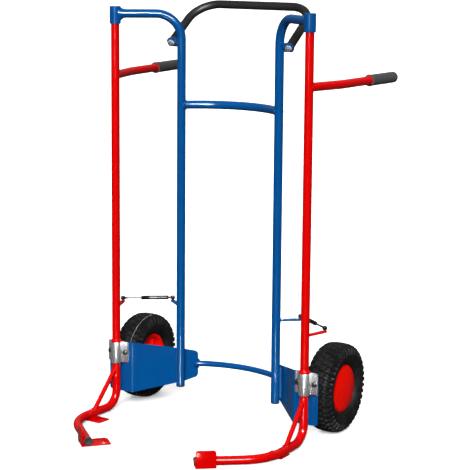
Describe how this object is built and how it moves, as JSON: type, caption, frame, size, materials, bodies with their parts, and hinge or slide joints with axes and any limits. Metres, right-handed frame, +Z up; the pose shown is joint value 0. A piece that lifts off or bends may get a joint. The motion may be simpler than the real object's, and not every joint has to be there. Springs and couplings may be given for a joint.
{
  "type": "tyre hand truck",
  "caption": "Upright tubular hand truck on pneumatic-style wheels with swinging foot arms, spring-returned by gas struts, rear arm handles and a bowed push handle.",
  "frame": {"origin": "on the floor, at the bottom centre of the bounding box at rest", "axes": "+Z up, -Y is the load side with the feet, +Y is the operator's side, X across, left pieces at -X"},
  "size_m": [0.785, 0.7718, 1.2292],
  "materials": {
    "red_paint": "gloss powder coat",
    "blue_paint": "gloss powder coat",
    "black_paint": "satin powder coat",
    "grip_rubber": "matt",
    "plug_plastic": "moulded",
    "tyre_rubber": "moulded, block tread",
    "clamp_aluminium": "extruded, brushed",
    "zinc_steel": "zinc plated",
    "bush_nylon": "moulded",
    "rod_chrome": "ground and plated"
  },
  "bodies": {
    "frame": {"frame_tube_left": "blue_paint", "frame_tube_right": "blue_paint", "frame_end_plug_left": "plug_plastic", "frame_end_plug_right": "plug_plastic", "top_collar_left": "blue_paint", "top_collar_right": "blue_paint", "collar_bush_left": "bush_nylon", "collar_bush_right": "bush_nylon", "side_plate_left": "blue_paint", "side_plate_right": "blue_paint", "clamp_left": "clamp_aluminium", "clamp_right": "clamp_aluminium", "clamp_bush_left": "bush_nylon", "clamp_bush_right": "bush_nylon", "clamp_bolt_inner_left": "zinc_steel", "clamp_bolt_inner_right": "zinc_steel", "clamp_bolt_outer_left": "zinc_steel", "clamp_bolt_outer_right": "zinc_steel", "axle_left": "zinc_steel", "axle_right": "zinc_steel", "handle_lug_left": "blue_paint", "handle_lug_right": "blue_paint", "handle_bolt_left": "zinc_steel", "handle_bolt_right": "zinc_steel", "strut_link_frame_left": "blue_paint", "strut_link_frame_right": "blue_paint", "upper_crossbar": "blue_paint", "lower_crossbar": "blue_paint", "push_handle": "black_paint"},
    "arm_left": {"arm_tube_left": "red_paint", "arm_brace_left": "red_paint", "stop_ring_left": "red_paint", "arm_handle_left": "red_paint", "grip_left": "grip_rubber", "toe_bracket_left": "red_paint", "heel_plate_left": "red_paint", "toe_plug_left": "plug_plastic", "strut_link_arm_left": "red_paint"},
    "cylinder_left": {"strut_cylinder_left": "black_paint"},
    "rod_left": {"strut_rod_left": "rod_chrome"},
    "wheel_left": {"tyre_left": "tyre_rubber", "rim_left": "red_paint", "hub_cap_left": "red_paint", "wheel_bearing_left": "zinc_steel"},
    "arm_right": {"arm_tube_right": "red_paint", "arm_brace_right": "red_paint", "stop_ring_right": "red_paint", "arm_handle_right": "red_paint", "grip_right": "grip_rubber", "toe_bracket_right": "red_paint", "heel_plate_right": "red_paint", "toe_plug_right": "plug_plastic", "strut_link_arm_right": "red_paint"},
    "cylinder_right": {"strut_cylinder_right": "black_paint"},
    "rod_right": {"strut_rod_right": "rod_chrome"},
    "wheel_right": {"tyre_right": "tyre_rubber", "rim_right": "red_paint", "hub_cap_right": "red_paint", "wheel_bearing_right": "zinc_steel"}
  },
  "joints": [
    {"name": "arm_pivot_left", "type": "hinge", "parent": "frame", "child": "arm_left", "pos_m": [-0.32, -0.04281, 0.6], "axis": [0, 0, -1], "range_deg": [0, 35], "stiffness_Nm_per_rad": 10, "springref_deg": -34.38},
    {"name": "strut_pivot_left", "type": "hinge", "parent": "frame", "child": "cylinder_left", "pos_m": [-0.2206, 0.11589, 0.3285], "axis": [0, 0, -1], "range_deg": [-11.1, 0]},
    {"name": "strut_slide_left", "type": "slide", "parent": "cylinder_left", "child": "rod_left", "axis": [-0.821, -0.5709, 0], "range_m": [-0.038, 0]},
    {"name": "wheel_spin_left", "type": "hinge", "parent": "frame", "child": "wheel_left", "pos_m": [-0.331, 0.12718, 0.13], "axis": [1, 0, 0], "continuous": true},
    {"name": "arm_pivot_right", "type": "hinge", "parent": "frame", "child": "arm_right", "pos_m": [0.32, -0.04281, 0.6], "axis": [0, 0, 1], "range_deg": [0, 35], "stiffness_Nm_per_rad": 10, "springref_deg": -34.38},
    {"name": "strut_pivot_right", "type": "hinge", "parent": "frame", "child": "cylinder_right", "pos_m": [0.2206, 0.11589, 0.3285], "axis": [0, 0, 1], "range_deg": [-11.1, 0]},
    {"name": "strut_slide_right", "type": "slide", "parent": "cylinder_right", "child": "rod_right", "axis": [0.821, -0.5709, 0], "range_m": [-0.038, 0]},
    {"name": "wheel_spin_right", "type": "hinge", "parent": "frame", "child": "wheel_right", "pos_m": [0.331, 0.12718, 0.13], "axis": [1, 0, 0], "continuous": true}
  ],
  "couplings": [
    {"joint": "strut_pivot_left", "follows": "arm_pivot_left", "ratio": -0.315},
    {"joint": "strut_slide_left", "follows": "arm_pivot_left", "m_per_rad": -0.061},
    {"joint": "strut_pivot_right", "follows": "arm_pivot_right", "ratio": -0.315},
    {"joint": "strut_slide_right", "follows": "arm_pivot_right", "m_per_rad": -0.061}
  ]
}
